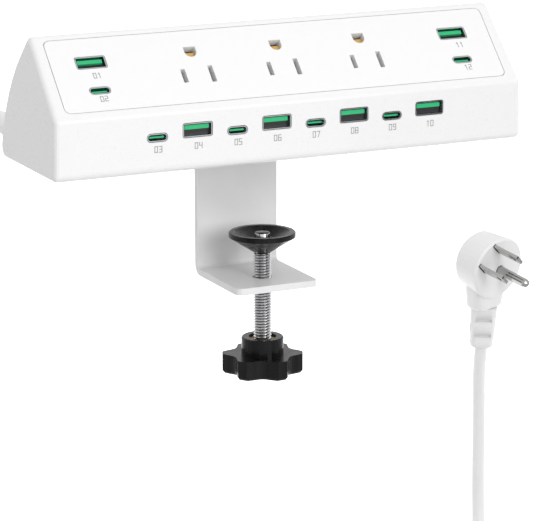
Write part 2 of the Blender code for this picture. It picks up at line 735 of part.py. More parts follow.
def smooth_route(points, spacing):
    """Points evenly spaced along a smooth curve through the route's own points."""
    route = [Vector(point) * MM for point in points]
    padded = [2 * route[0] - route[1], *route, 2 * route[-1] - route[-2]]
    fine = []
    for before, start, end, after in zip(padded, padded[1:], padded[2:], padded[3:]):
        for step in range(20):
            t = step / 20
            term = 2 * start + (end - before) * t
            term += (2 * before - 5 * start + 4 * end - after) * t * t
            term += (3 * start - before - 3 * end + after) * t * t * t
            fine.append(term / 2)
    fine.append(route[-1])
    kept = [fine[0]]
    for point in fine:
        if (point - kept[-1]).length >= spacing:
            kept.append(point)
    if (fine[-1] - kept[-1]).length < spacing / 2:
        kept.pop()
    return [*kept, fine[-1]]


def tube(name, points, material):
    curve = bpy.data.curves.new(name, "CURVE")
    curve.dimensions = "3D"
    curve.bevel_depth = CORD_RADIUS
    curve.bevel_resolution = 3
    curve.use_fill_caps = True
    spline = curve.splines.new("POLY")
    spline.points.add(len(points) - 1)
    for slot, point in zip(spline.points, points):
        slot.co = (*point, 1)
    curve.materials.append(material)
    obj = bpy.data.objects.new(name, curve)
    bpy.context.scene.collection.objects.link(obj)


def build_cord(white):
    gland_profile = (
        (0, 22 * MM),
        (5 * MM, 22 * MM),
        (5.9 * MM, 23 * MM),
        (5.9 * MM, 37 * MM),
        (6.8 * MM, 37.3 * MM),
        (6.8 * MM, 39.6 * MM),
        (5.7 * MM, 40.2 * MM),
        (4.3 * MM, GLAND_END_Y),
        (0, GLAND_END_Y),
    )
    gland = add_object("cable_gland", turned(gland_profile, 24), white, 30)
    gland.location = (GLAND_X, 0, GLAND_Z)
    gland.rotation_euler = (-math.pi / 2, 0, 0)

    tube("cord_drop", smooth_route(DROP_ROUTE, 15 * MM), white)
    tube("cord_riser", smooth_route(RISER_ROUTE, 12 * MM), white)

    low = FLOOR_Z
    high = FLOOR_Z + 2 * CORD_RADIUS + COIL_TURNS * COIL_RISE
    half = CORD_RADIUS + 0.4 * MM
    soft = 2 * MM
    ring_profile = (
        (COIL_RADIUS - half, low + soft),
        (COIL_RADIUS - half + soft, low),
        (COIL_RADIUS + half - soft, low),
        (COIL_RADIUS + half, low + soft),
        (COIL_RADIUS + half, high - soft),
        (COIL_RADIUS + half - soft, high),
        (COIL_RADIUS - half + soft, high),
        (COIL_RADIUS - half, high - soft),
    )
    coil = add_object("cord_coil", turned(ring_profile, 48), white, 30)
    coil.location = (*COIL_CENTRE, 0)


def plug_frame():
    """An empty on the plug's face: x from line to neutral blade, y along the prongs, z to the pin."""
    prongs = PRONG_DIRECTION.normalized()
    z_axis = (GROUND_DIRECTION - prongs * GROUND_DIRECTION.dot(prongs)).normalized()
    x_axis = prongs.cross(z_axis)
    frame = bpy.data.objects.new("plug_frame", None)
    bpy.context.scene.collection.objects.link(frame)
    turn = Matrix((x_axis, prongs, z_axis)).transposed().to_4x4()
    frame.matrix_world = Matrix.Translation(PLUG_FACE) @ turn
    return frame


def boot_section(width, depth, corner, along):
    """One section across the boot, in the frame that has z along the cord."""
    return [(x, y, along) for x, y in rounded_rectangle(width, depth, corner, 3)]


def build_plug(white, nickel):
    frame = plug_frame()
    disc_turn = Matrix.Translation((0, 0, PLUG_DISC_OFFSET)) @ Matrix.Rotation(-math.pi / 2, 4, "X")
    boot_turn = Matrix.Translation((0, BOOT_DEPTH, PLUG_DISC_OFFSET))
    boot_turn = boot_turn @ Matrix.Rotation(math.radians(BOOT_TURN_DEG), 4, "Y")
    disc_profile = (
        (0, -PLUG_THICKNESS),
        (PLUG_REAR_RADIUS - 6 * MM, -PLUG_THICKNESS),
        (PLUG_REAR_RADIUS - 1.5 * MM, -PLUG_THICKNESS + 0.8 * MM),
        (PLUG_REAR_RADIUS, -PLUG_THICKNESS + 2.5 * MM),
        (PLUG_DISC_RADIUS, -1 * MM),
        (PLUG_DISC_RADIUS - 1 * MM, 0),
        (0, 0),
    )
    body = add_object("plug_body", turned(disc_profile, 40), white, 30)
    body.parent = frame
    body.matrix_local = disc_turn
    neck_end = BOOT_FROM - GAP
    sections = [
        boot_section(22 * MM, 12 * MM, 3 * MM, 4 * MM),
        boot_section(20 * MM, 12 * MM, 3.5 * MM, 15 * MM),
        boot_section(18 * MM, 12.4 * MM, 4 * MM, neck_end - 1 * MM),
        boot_section(17 * MM, 11.4 * MM, 4 * MM, neck_end),
    ]
    neck = add_object("plug_neck", loft(sections))
    neck.parent = frame
    neck.matrix_local = boot_turn
    boolean(body, neck, "UNION")

    pockets = []
    blade_x = SLOT_SPACING / 2
    thick, wide, length = BLADE
    for x in (-blade_x, blade_x):
        size = (thick + 2 * GAP, BLADE_ROOT + GAP + 1 * MM, wide + 2 * GAP)
        pockets.append(box(size, (x, 0.5 * MM - (BLADE_ROOT + GAP) / 2, 0)))
    pin_hole = turned(
        (
            (0, -BLADE_ROOT - GAP),
            (GROUND_PIN_RADIUS + GAP, -BLADE_ROOT - GAP),
            (GROUND_PIN_RADIUS + GAP, 1 * MM),
            (0, 1 * MM),
        ),
        20,
    )
    along_y = Matrix.Translation((0, 0, GROUND_ABOVE_SLOTS)) @ Matrix.Rotation(-math.pi / 2, 4, "X")
    bmesh.ops.transform(pin_hole, matrix=along_y, verts=pin_hole.verts)
    pocket = add_object("cut_plug_pockets", merged([*pockets, pin_hole]))
    pocket.parent = frame
    boolean(body, pocket)

    boot_sections = [
        boot_section(13.9 * MM, 11 * MM, 3.5 * MM, BOOT_FROM),
        boot_section(11.9 * MM, 10 * MM, 3.5 * MM, BOOT_FROM + BOOT_LENGTH - 1 * MM),
        boot_section(9.9 * MM, 8.6 * MM, 3.5 * MM, BOOT_FROM + BOOT_LENGTH),
    ]
    boot = add_object("plug_boot", loft(boot_sections), white, 30)
    boot.parent = frame
    boot.matrix_local = boot_turn

    for name, x in (("plug_line_blade", -blade_x), ("plug_neutral_blade", blade_x)):
        middle = (length - BLADE_ROOT) / 2
        outline = rounded_rectangle(wide, length + BLADE_ROOT, 0.8 * MM, 2, (0, middle))
        blade = add_object(name, prism(outline, -thick / 2, thick / 2), nickel)
        eye = turned(((0, -2 * MM), (1.6 * MM, -2 * MM), (1.6 * MM, 2 * MM), (0, 2 * MM)), 16)
        bmesh.ops.translate(eye, vec=(0, length - 4 * MM, 0), verts=eye.verts)
        cutter = add_object(f"cut_{name}", eye)
        across = Matrix.Translation((x, 0, 0)) @ Matrix.Rotation(math.pi / 2, 4, "Y")
        for obj in (blade, cutter):
            obj.parent = frame
            obj.matrix_local = across
        boolean(blade, cutter)

    pin_profile = (
        (0, -BLADE_ROOT),
        (GROUND_PIN_RADIUS, -BLADE_ROOT),
        (GROUND_PIN_RADIUS, GROUND_PIN_LENGTH - 2 * MM),
        (GROUND_PIN_RADIUS * 0.8, GROUND_PIN_LENGTH - 0.7 * MM),
        (GROUND_PIN_RADIUS * 0.4, GROUND_PIN_LENGTH),
        (0, GROUND_PIN_LENGTH),
    )
    pin = add_object("plug_ground_pin", turned(pin_profile, 20), nickel, 30)
    pin.parent = frame
    pin.matrix_local = along_y


def main():
    clear_scene()
    white = make_material("white_plastic", (0.86, 0.86, 0.86), 0.35)
    panel_white = make_material("panel_plastic", (0.88, 0.88, 0.88), 0.3)
    cord_white = make_material("cord_pvc", (0.85, 0.85, 0.85), 0.45)
    powder_coat = make_material("powder_coated_steel", (0.8, 0.8, 0.8), 0.4)
    black = make_material("black_plastic", (0.02, 0.02, 0.02), 0.35)
    rubber = make_material("foot_rubber", (0.03, 0.03, 0.03), 0.8)
    steel = make_material("plated_steel", (0.6, 0.6, 0.62), 0.3, 1.0)
    chrome = make_material("bright_steel", (0.75, 0.75, 0.76), 0.18, 1.0)
    nickel = make_material("nickel_plate", (0.78, 0.77, 0.74), 0.2, 1.0)
    brass = make_material("brass", (0.72, 0.5, 0.2), 0.35, 1.0)
    green = make_material("green_plastic", (0.05, 0.5, 0.25), 0.4)
    board_green = make_material("circuit_board", (0.02, 0.18, 0.08), 0.5)
    core = make_material("transformer_core", (0.45, 0.35, 0.1), 0.6)
    aluminium = make_material("capacitor_can", (0.5, 0.5, 0.52), 0.4, 1.0)
    build_shell(white)
    build_panel(panel_white)
    build_base(white, rubber, steel)
    build_ports(steel, green)
    build_contacts(brass)
    build_electronics(board_green, core, aluminium)
    build_bracket(powder_coat)
    build_clamp(chrome, black, brass)
    build_cord(cord_white)
    build_plug(cord_white, nickel)


main()
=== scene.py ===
"""Desk power strip on a screw clamp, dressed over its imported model."""

import json
import math

import bmesh
import bpy
from mathutils import Matrix, Vector


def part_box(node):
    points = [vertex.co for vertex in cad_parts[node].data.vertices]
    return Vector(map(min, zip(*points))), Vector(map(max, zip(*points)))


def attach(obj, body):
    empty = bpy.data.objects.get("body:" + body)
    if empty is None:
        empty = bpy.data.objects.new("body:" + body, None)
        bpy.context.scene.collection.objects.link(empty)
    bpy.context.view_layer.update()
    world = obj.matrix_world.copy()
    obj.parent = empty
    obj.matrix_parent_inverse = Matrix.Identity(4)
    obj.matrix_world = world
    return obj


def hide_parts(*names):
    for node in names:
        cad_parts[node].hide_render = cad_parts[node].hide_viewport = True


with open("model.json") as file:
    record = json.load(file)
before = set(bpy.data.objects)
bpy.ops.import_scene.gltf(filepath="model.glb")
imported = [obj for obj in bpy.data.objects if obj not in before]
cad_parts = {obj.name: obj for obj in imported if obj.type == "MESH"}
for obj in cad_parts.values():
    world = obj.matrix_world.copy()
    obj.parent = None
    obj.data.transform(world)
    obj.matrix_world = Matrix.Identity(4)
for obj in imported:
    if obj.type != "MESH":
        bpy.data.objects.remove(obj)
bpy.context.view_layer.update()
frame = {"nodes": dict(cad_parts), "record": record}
NODES = frame["nodes"]

MM = 0.001

# Camera
CAMERA_PLACE = (-0.5163, -1.0867, 0.2491)
CAMERA_FORWARD = Vector((0.41574, 0.87730, -0.23982))
CAMERA_RIGHT = Vector((0.90347, -0.42866, -0.00189))
CAMERA_LENS = 192.0
SENSOR_WIDTH = 36
NEAR_CLIP = 0.01

# Cord
CORD_RADIUS = 3.4 * MM
COIL_CENTRE = Vector((95 * MM, 45 * MM))
COIL_RADIUS = 40 * MM
COIL_TURNS = 4.275
COIL_RISE = 7.2 * MM
COIL_START_DEG = 236.3
COIL_START_Z = -278.5 * MM
COIL_STEPS_PER_TURN = 28
TIE_DEG = 150
TIE_HALF_WIDTH = 5 * MM
TIE_CLEARANCE = 0.3 * MM
TIE_THICKNESS = 0.9 * MM
TIE_STEPS = 32
DROP_ROUTE = (
    (-101, 62.3, 12),
    (-101, 76, 12),
    (-101.5, 90, 9.5),
    (-103, 104, 0),
    (-104.5, 115, -18),
    (-105.5, 121, -45),
    (-105.5, 123, -90),
    (-105.5, 123, -140),
    (-105.5, 123, -190),
    (-105, 122.5, -228),
    (-102, 120.5, -254),
    (-92, 115, -271),
    (-76, 106, -277.5),
    (-56, 95.5, -278.5),
    (-28, 79.5, -278.5),
    (10, 54.6, -278.5),
    (48.6, 28.1, -278.5),
)
RISER_ROUTE = (
    (143.2, 54.5, -250),
    (150.5, 70.5, -258.5),
    (158.8, 88, -267),
    (168.2, 106, -272.5),
    (178.4, 124, -274),
    (188.4, 142, -270.5),
    (196.2, 155.5, -262),
    (200.4, 163, -247),
    (201.4, 165.6, -230),
    (201.6, 166.3, -205),
    (201.2, 165.9, -185),
    (199.8, 163.8, -168),
    (198.72, 160.3, -151.1),
)

# Plug
PLUG_FACE = Vector((190.9, 139.1, -98.6)) * MM
PRONG_DIRECTION = Vector((0.2454, -0.9531, -0.1769))
GROUND_DIRECTION = Vector((0.691, 0.3, -0.6577))
PLUG_DISC_OFFSET = 10.5 * MM
BOOT_DEPTH = -9 * MM
BOOT_TURN_DEG = -42.1
BOOT_TWIST_DEG = 40
BOOT_FROM = 24.5 * MM

# The boot, in millimetres. Its sections are (width, depth, corner, distance along it), and the
# slots and notches are (size, place of one of the pair across the boot, distances along it)
BOOT_SECTIONS = (
    (13.9, 11, 3.5, 0),
    (13.9, 11, 3.5, 0.6),
    (13.2, 10.7, 3.5, 11),
    (12.2, 10.2, 3.5, 21),
    (11.5, 9.8, 3.5, 22.4),
    (10.3, 8.9, 3.5, 23),
)
BOOT_SLOTS = ((8.4, 3.4, 1.6), (0, 5.4), (6.6, 15.6))
BOOT_NOTCHES = ((2.4, 6.0, 1.9), (6.6, 0), (10.9, 20))

# Housing faces
FRONT_Y = -27 * MM
CREASE_Z = 27 * MM
SLANT_DEG = 45.8
OUTLET_PITCH = 39.66 * MM
GROUND_UP_SLOPE = 29.39 * MM
PORT_PITCH = 18.22 * MM
PORTS_IN_FRONT = 8
PANEL_PORT_X = 85.05 * MM
PANEL_A_UP_SLOPE = 27.9 * MM
FRONT_A_DOWN = 8.2 * MM

# Numerals. The four on the panel are (x, place up the slope), in millimetres
PANEL_NUMERALS = ((-84.2, 21.2), (-84.4, 9.6), (86.6, 21.6), (86.4, 9.6))
FRONT_C_NUMERAL_DOWN = 15.0 * MM
FRONT_A_NUMERAL_DOWN = 14.9 * MM
FRONT_NUMERAL_SHIFT = 0.3 * MM
NUMERAL_HEIGHT = 2.4 * MM

# Studio, in metres; the sweep's corners are (distance from the camera, place across the view)
WORLD_LIGHT = 0.92
KEY_LIGHT = 10
KEY_PLACE = (0.45, -1.35, 0.4)
KEY_SIZE = (0.8, 0.8)
FLOOR_Z = -0.2832
FLOOR_HALF_SIZE = 6
FLOOR_GREY = 0.7
SWEEP_CORNERS = ((1.45, -0.4), (1.45, 0.4), (5.5, 1.2), (5.5, -1.2))
FLAG_TURNS_DEG = {"left_flag": -62, "right_flag": 40}
FLAG_DISTANCE = 1.0
FLAG_HALF_WIDTH = 0.16
FLAG_HEIGHT = 1.0

# Clamp screw
SCREW_Y = 7.1 * MM
SCREW_RADIUS = 4 * MM
SCREW_PITCH = 1.25 * MM
THREAD_DEPTH = 0.75 * MM
THREAD_CREST = 0.12
THREAD_FLANK = 0.7
THREAD_ROWS_PER_TURN = 10
# Radii, in millimetres, of the painted shade in the thread: darkest at the root, gone at the bright
# steel
THREAD_SHADE_DARKEST_MM = 3.24
THREAD_SHADE_END_MM = 3.42
THREAD_TOP_Z = -45.8 * MM
SCREW_TIP_RADIUS = 3.45 * MM
SCREW_TIP_BEVEL = 0.5 * MM
SCREW_STEPS = 40


def add_mesh(name, bm, smooth_deg=30):
    bmesh.ops.recalc_face_normals(bm, faces=bm.faces)
    mesh = bpy.data.meshes.new(name)
    bm.to_mesh(mesh)
    bm.free()
    mesh.shade_smooth()
    mesh.set_sharp_from_angle(angle=math.radians(smooth_deg))
    obj = bpy.data.objects.new(name, mesh)
    bpy.context.scene.collection.objects.link(obj)
    return obj


def skin(bm, rings):
    """Joins rings of the same number of points into one closed skin."""
    for ring, following in zip(rings, rings[1:]):
        for k in range(len(ring)):
            j = (k + 1) % len(ring)
            bm.faces.new((ring[k], ring[j], following[j], following[k]))
    bm.faces.new(rings[0][::-1])
    bm.faces.new(rings[-1])


def smooth_route(points, per_leg=4):
    """Points in metres along a smooth curve through the route's own points, in millimetres."""
    route = [Vector(point) * MM for point in points]
    padded = [2 * route[0] - route[1], *route, 2 * route[-1] - route[-2]]
    fine = []
    for before, start, end, after in zip(padded, padded[1:], padded[2:], padded[3:]):
        for step in range(per_leg):
            t = step / per_leg
            term = 2 * start + (end - before) * t
            term += (2 * before - 5 * start + 4 * end - after) * t * t
            term += (3 * start - before - 3 * end + after) * t * t * t
            fine.append(term / 2)
    return [*fine, route[-1]]


def coil_points():
    """The coil's centreline, rising counter-clockwise from the drop's end to the riser's start."""
    points = []
    steps = round(COIL_TURNS * COIL_STEPS_PER_TURN)
    for k in range(steps + 1):
        turn = COIL_TURNS * k / steps
        angle = math.radians(COIL_START_DEG) + 2 * math.pi * turn
        place = COIL_CENTRE + COIL_RADIUS * Vector((math.cos(angle), math.sin(angle)))
        points.append(Vector((place.x, place.y, COIL_START_Z + COIL_RISE * turn)))
    return points


def new_material(name):
    material = bpy.data.materials.new(name)
    material.use_nodes = True
    tree = material.node_tree
    return material, tree, tree.nodes["Principled BSDF"]


def noise(tree, scale, detail=3.0, roughness=0.5):
    coordinates = tree.nodes.new("ShaderNodeTexCoord")
    texture = tree.nodes.new("ShaderNodeTexNoise")
    texture.inputs["Scale"].default_value = scale
    texture.inputs["Detail"].default_value = detail
    texture.inputs["Roughness"].default_value = roughness
    tree.links.new(coordinates.outputs["Object"], texture.inputs["Vector"])
    return texture


def ramp(tree, value, stops):
    """Maps a value to colours. stops are (position, colour) pairs."""
    node = tree.nodes.new("ShaderNodeValToRGB")
    for k, (position, colour) in enumerate(stops):
        stop = node.color_ramp.elements[k] if k < 2 else node.color_ramp.elements.new(position)
        stop.position = position
        stop.color = (*colour, 1)
    tree.links.new(value, node.inputs["Fac"])
    return node


def surface(
    name,
    colour,
    rough,
    metallic=0.0,
    spread=0.03,
    scale=180,
    bump=0.02,
    coat=0.0,
    specular=0.5,
):
    """A finish whose colour and roughness vary a little, with a fine grain."""
    material, tree, shader = new_material(name)
    broad = noise(tree, scale * 0.15)
    darker = tuple(c * (1 - spread) for c in colour)
    lighter = tuple(min(1, c * (1 + spread)) for c in colour)
    tint = ramp(tree, broad.outputs["Fac"], ((0.3, darker), (0.7, lighter)))
    tree.links.new(tint.outputs["Color"], shader.inputs["Base Color"])
    fine = noise(tree, scale)
    low, high = max(0.02, rough - 0.04), min(1, rough + 0.04)
    dull = ramp(tree, fine.outputs["Fac"], ((0.3, (low,) * 3), (0.7, (high,) * 3)))
    tree.links.new(dull.outputs["Color"], shader.inputs["Roughness"])
    if bump:
        relief = tree.nodes.new("ShaderNodeBump")
        relief.inputs["Strength"].default_value = bump
        relief.inputs["Distance"].default_value = 0.0002
        tree.links.new(fine.outputs["Fac"], relief.inputs["Height"])
        tree.links.new(relief.outputs["Normal"], shader.inputs["Normal"])
    shader.inputs["Metallic"].default_value = metallic
    shader.inputs["Specular IOR Level"].default_value = specular
    shader.inputs["Coat Weight"].default_value = coat
    return material


def steel_with_painted_thread_shade(name):
    """Bright steel with painted shade: its colour goes dark at the thread's root, by the distance
    from the screw's own axis.
    """
    material, tree, shader = new_material(name)
    coordinates = tree.nodes.new("ShaderNodeTexCoord")
    flat = tree.nodes.new("ShaderNodeVectorMath")
    flat.operation = "MULTIPLY"
    flat.inputs[1].default_value = (1 / MM, 1 / MM, 0)
    tree.links.new(coordinates.outputs["Object"], flat.inputs[0])
    reach = tree.nodes.new("ShaderNodeVectorMath")
    reach.operation = "LENGTH"
    tree.links.new(flat.outputs["Vector"], reach.inputs[0])
    part = tree.nodes.new("ShaderNodeMapRange")
    part.inputs["From Min"].default_value = THREAD_SHADE_DARKEST_MM
    part.inputs["From Max"].default_value = THREAD_SHADE_END_MM
    tree.links.new(reach.outputs["Value"], part.inputs["Value"])
    # Painted shade: near-black colour at the thread's root, full steel colour towards the crest
    tint = ramp(tree, part.outputs["Result"], ((0, (0.01, 0.01, 0.01)), (1, (0.72, 0.72, 0.73))))
    tree.links.new(tint.outputs["Color"], shader.inputs["Base Color"])
    fine = noise(tree, 300)
    dull = ramp(tree, fine.outputs["Fac"], ((0.3, (0.12,) * 3), (0.7, (0.2,) * 3)))
    tree.links.new(dull.outputs["Color"], shader.inputs["Roughness"])
    shader.inputs["Metallic"].default_value = 1.0
    return material


def dress(obj, material):
    obj.data.materials.clear()
    obj.data.materials.append(material)


def make_camera():
    up = CAMERA_RIGHT.cross(CAMERA_FORWARD)
    turn = Matrix((CAMERA_RIGHT, up, -CAMERA_FORWARD)).transposed().to_4x4()
    camera = bpy.data.objects.new("camera", bpy.data.cameras.new("camera"))
    camera.matrix_world = Matrix.Translation(CAMERA_PLACE) @ turn
    camera.data.sensor_width = SENSOR_WIDTH
    camera.data.lens = CAMERA_LENS
    camera.data.clip_start = NEAR_CLIP
    bpy.context.scene.collection.objects.link(camera)
    bpy.context.scene.camera = camera


def make_cord(material):
    """One continuous cord: down from the gland, into the coil and up to the plug."""
    points = smooth_route(DROP_ROUTE) + coil_points() + smooth_route(RISER_ROUTE)
    curve = bpy.data.curves.new("cord", "CURVE")
    curve.dimensions = "3D"
    curve.bevel_depth = CORD_RADIUS
    curve.bevel_resolution = 6
    curve.use_fill_caps = True
    spline = curve.splines.new("POLY")
    spline.points.add(len(points) - 1)
    for slot, point in zip(spline.points, points):
        slot.co = (*point, 1)
    cord = bpy.data.objects.new("cord", curve)
    bpy.context.scene.collection.objects.link(cord)
    dress(cord, material)
    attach(cord, "strip")
    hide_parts("cord_drop", "cord_coil", "cord_riser")
    return cord


def make_coil_tie(material):
    """A flat strap wrapped once round the coil's stacked turns."""
    inner = CORD_RADIUS + TIE_CLEARANCE
    outer = inner + TIE_THICKNESS
    low = COIL_START_Z
    high = COIL_START_Z + COIL_RISE * COIL_TURNS
    bm = bmesh.new()
    rings = []
    for y in (-TIE_HALF_WIDTH, TIE_HALF_WIDTH):
        for reach in (inner, outer):
            ring = []
            for k in range(TIE_STEPS):
                angle = 2 * math.pi * k / TIE_STEPS
                middle = high if math.sin(angle) >= 0 else low
                x, rise = reach * math.cos(angle), reach * math.sin(angle)
                ring.append(bm.verts.new((x, y, middle + rise)))
            rings.append(ring)
    front_inner, front_outer, rear_inner, rear_outer = rings
    for one, other in (
        (front_inner, front_outer),
        (front_outer, rear_outer),
        (rear_outer, rear_inner),
        (rear_inner, front_inner),
    ):
        for k in range(TIE_STEPS):
            j = (k + 1) % TIE_STEPS
            bm.faces.new((one[k], one[j], other[j], other[k]))
    tie = add_mesh("coil_tie", bm)
    angle = math.radians(TIE_DEG)
    outward = Vector((math.cos(angle), math.sin(angle), 0))
    place = Vector((*COIL_CENTRE, 0)) + COIL_RADIUS * outward
    tie.matrix_world = Matrix.Translation(place) @ Matrix.Rotation(angle, 4, "Z")
    dress(tie, material)
    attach(tie, "strip")
    return tie


def screw_thread(material):
    """The clamp screw with its rolled thread, a helix of ridges, and a smooth turned tip."""
    low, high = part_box("clamp_screw")
    bottom, tip = low.z, high.z
    turns = (THREAD_TOP_Z - bottom) / SCREW_PITCH
    rows = int(turns * THREAD_ROWS_PER_TURN)
    angles = [2 * math.pi * k / SCREW_STEPS for k in range(SCREW_STEPS)]
    bm = bmesh.new()
    rings = []
    for row in range(rows + 1):
        z = bottom + (THREAD_TOP_Z - bottom) * row / rows
        ring = []
        for angle in angles:
            # 0 on the crest and 1 at the root, with a narrow flat on both
            phase = (z / SCREW_PITCH - angle / (2 * math.pi)) % 1
            hollow = min(max((abs(2 * phase - 1) - THREAD_CREST) / THREAD_FLANK, 0), 1)
            radius = SCREW_RADIUS - THREAD_DEPTH * hollow
            ring.append(bm.verts.new((radius * math.cos(angle), radius * math.sin(angle), z)))
        rings.append(ring)
    for radius, z in (
        (SCREW_TIP_RADIUS, THREAD_TOP_Z + 0.5 * MM),
        (SCREW_TIP_RADIUS, tip - SCREW_TIP_BEVEL),
        (SCREW_TIP_RADIUS - 0.15 * MM, tip - 0.15 * MM),
        (SCREW_TIP_RADIUS - SCREW_TIP_BEVEL, tip),
    ):
        tip_ring = [(radius * math.cos(a), radius * math.sin(a), z) for a in angles]
        rings.append([bm.verts.new(point) for point in tip_ring])
    skin(bm, rings)
    screw = add_mesh("threaded_screw", bm, 50)
    screw.location = (0, SCREW_Y, 0)
    dress(screw, material)
    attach(screw, "screw")
    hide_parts("clamp_screw")


def plug_frame():
    """On the plug's face: x from line to neutral blade, y along the prongs, z to the ground pin."""
    prongs = PRONG_DIRECTION.normalized()
    z_axis = (GROUND_DIRECTION - prongs * GROUND_DIRECTION.dot(prongs)).normalized()
    x_axis = prongs.cross(z_axis)
    turn = Matrix((x_axis, prongs, z_axis)).transposed().to_4x4()
    return Matrix.Translation(PLUG_FACE) @ turn


def rounded_section(width, depth, corner, along, steps=6):
    """Points round a rounded rectangle across the boot, at a distance along it."""
    points = []
    for quarter, (sx, sy) in enumerate(((1, 1), (-1, 1), (-1, -1), (1, -1))):
        for step in range(steps + 1):
            angle = math.pi / 2 * (quarter + step / steps)
            x = sx * (width / 2 - corner) + corner * math.cos(angle)
            y = sy * (depth / 2 - corner) + corner * math.sin(angle)
            points.append((x, y, along))
    return points


def make_boot(material):
    """The strain relief: a tapered boot with slots in its front and back and notched sides."""
    bm = bmesh.new()
    rings = []
    for width, depth, corner, along in BOOT_SECTIONS:
        ring = rounded_section(width * MM, depth * MM, corner * MM, BOOT_FROM + along * MM)
        rings.append([bm.verts.new(point) for point in ring])
    skin(bm, rings)
    boot = add_mesh("slotted_boot", bm)
    cuts = bmesh.new()
    to_boot = Matrix.Translation((0, 0, BOOT_FROM))
    for size, (x, y), places in (BOOT_SLOTS, BOOT_NOTCHES):
        for along in places:
            for side in (-1, 1):
                face_box(cuts, size, (side * x, side * y, along), to_boot)
    cutter = add_mesh("boot_slots", cuts)
    place = plug_frame() @ Matrix.Translation((0, BOOT_DEPTH, PLUG_DISC_OFFSET))
    place = place @ Matrix.Rotation(math.radians(BOOT_TURN_DEG), 4, "Y")
    place = place @ Matrix.Rotation(math.radians(BOOT_TWIST_DEG), 4, "Z")
    for obj in (boot, cutter):
        obj.matrix_world = place
    modifier = boot.modifiers.new("slots", "BOOLEAN")
    modifier.object = cutter
    modifier.solver = "EXACT"
    bpy.context.view_layer.update()
    made = boot.evaluated_get(bpy.context.evaluated_depsgraph_get())
    mesh = bpy.data.meshes.new_from_object(made)
    boot.modifiers.clear()
    boot.data = mesh
    bpy.data.objects.remove(cutter)
    dress(boot, material)
    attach(boot, "strip")
    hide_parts("plug_boot")
    return boot


def face_matrix(x, up_face, on_slant):
    """Places a piece, drawn x along a face, y up it and z out of it, at up_face from the crease."""
    angle = math.radians(SLANT_DEG if on_slant else 90)
    turn = Matrix.Rotation(angle, 4, "X")
    crease = Vector((x, FRONT_Y, CREASE_Z))
    return Matrix.Translation(crease + turn.to_3x3() @ Vector((0, up_face, 0))) @ turn


def front_port_x(k):
    """The x of one of the ports along the front strip, counted from the left."""
    return (k - (PORTS_IN_FRONT - 1) / 2) * PORT_PITCH


def face_box(bm, size, centre, place):
    """Adds a box, given in millimetres from its place, to a bmesh."""
    made = bmesh.ops.create_cube(bm, size=1)["verts"]
    bmesh.ops.scale(bm, vec=[c * MM for c in size], verts=made)
    bmesh.ops.translate(bm, vec=[c * MM for c in centre], verts=made)
    bmesh.ops.transform(bm, matrix=place, verts=made)


def make_port_painted_shade(material):
    """A dark box behind each USB-A tongue: painted shade in the port's recess."""
    # Painted shade: a near-black box set deep in each USB-A port
    size, centre = (12.3, 3.2, 1.0), (0, -0.9, -2.9)
    places = [face_matrix(x, PANEL_A_UP_SLOPE, True) for x in (-PANEL_PORT_X, PANEL_PORT_X)]
    for k in range(1, PORTS_IN_FRONT, 2):
        places.append(face_matrix(front_port_x(k), -FRONT_A_DOWN, False))
    bm = bmesh.new()
    for place in places:
        face_box(bm, size, centre, place)
    shade_boxes = add_mesh("usb_a_painted_shade", bm)
    dress(shade_boxes, material)
    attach(shade_boxes, "strip")


def make_ground_contacts(material):
    """The brass seen in each round ground opening."""
    size, centre = (5.3, 3.2, 0.4), (0, -1.0, -2.2)
    bm = bmesh.new()
    for k in (-1, 0, 1):
        face_box(bm, size, centre, face_matrix(k * OUTLET_PITCH, GROUND_UP_SLOPE, True))
    contacts = add_mesh("ground_contacts", bm)
    dress(contacts, material)
    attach(contacts, "strip")


# Strokes of the numerals on a grid 2 wide and 4 high
NUMERALS = {
    "0": (((0, 0), (2, 0), (2, 4), (0, 4), (0, 0)),),
    "1": (((0.4, 3.2), (1.2, 4), (1.2, 0)),),
    "2": (((0, 4), (2, 4), (2, 2.1), (0, 1.9), (0, 0), (2, 0)),),
    "3": (((0, 4), (2, 4), (2, 0), (0, 0)), ((0.4, 2), (2, 2))),
    "4": (((0, 4), (0, 2), (2, 2)), ((2, 4), (2, 0))),
    "5": (((2, 4), (0, 4), (0, 2.1), (2, 1.9), (2, 0), (0, 0)),),
    "6": (((2, 4), (0, 4), (0, 0), (2, 0), (2, 2), (0, 2)),),
    "7": (((0, 4), (2, 4), (0.8, 0)),),
    "8": (((0, 0), (2, 0), (2, 4), (0, 4), (0, 0)), ((0, 2), (2, 2))),
    "9": (((2, 2), (0, 2), (0, 4), (2, 4), (2, 0), (0, 0)),),
}


def numeral_mesh(bm, digits, height, place):
    """Adds thin flat strokes for a number, centred on its place on a face."""
    unit = height / 4
    stroke = 0.13 * height
    lift, thick = 0.02 * MM, 0.03 * MM
    step = 3.3 * unit
    start = -((len(digits) - 1) * step + 2 * unit) / 2
    for k, digit in enumerate(digits):
        for line in NUMERALS[digit]:
            for (ax, ay), (bx, by) in zip(line, line[1:]):
                a = Vector((start + k * step + ax * unit, (ay - 2) * unit, 0))
                b = Vector((start + k * step + bx * unit, (by - 2) * unit, 0))
                along = (b - a).normalized() * stroke / 2
                side = Vector((-along.y, along.x, 0))
                corners = [a - along - side, b + along - side, b + along + side, a - along + side]
                low = [bm.verts.new(place @ (c + Vector((0, 0, lift)))) for c in corners]
                high = [bm.verts.new(place @ (c + Vector((0, 0, lift + thick)))) for c in corners]
                bm.faces.new(low[::-1])
                bm.faces.new(high)
                for i in range(4):
                    j = (i + 1) % 4
                    bm.faces.new((low[i], low[j], high[j], high[i]))


